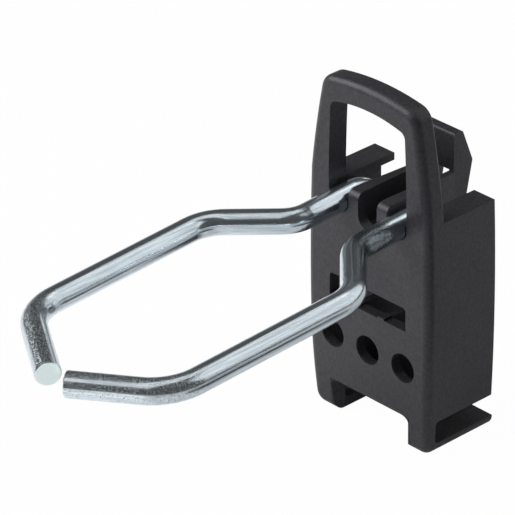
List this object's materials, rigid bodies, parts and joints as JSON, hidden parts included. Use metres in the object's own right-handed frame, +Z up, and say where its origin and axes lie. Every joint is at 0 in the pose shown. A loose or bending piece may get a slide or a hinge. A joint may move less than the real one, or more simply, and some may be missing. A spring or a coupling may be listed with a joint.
{
  "type": "rail clip loop hook",
  "caption": "Loop hook for a tool rail: a plastic clip-on carrier with a windowed handle, a rear latch and gripping feet holds a bent wire loop, open at its front.",
  "frame": {"origin": "on the plane of the carrier's back edges, at the top of the grip between the feet and the body, in the middle plane: where the clip meets its rail", "axes": "+X to the right of someone facing the front, +Y out of the back into the rail or wall, +Z up. The wire loop reaches out along -Y."},
  "size_m": [0.0585, 0.1351, 0.0954],
  "materials": {
    "moulding": "black, fine grain",
    "plated_wire": "bright zinc plate"
  },
  "bodies": {
    "root": {"carrier": "moulding", "wire_loop": "plated_wire"}
  },
  "joints": []
}
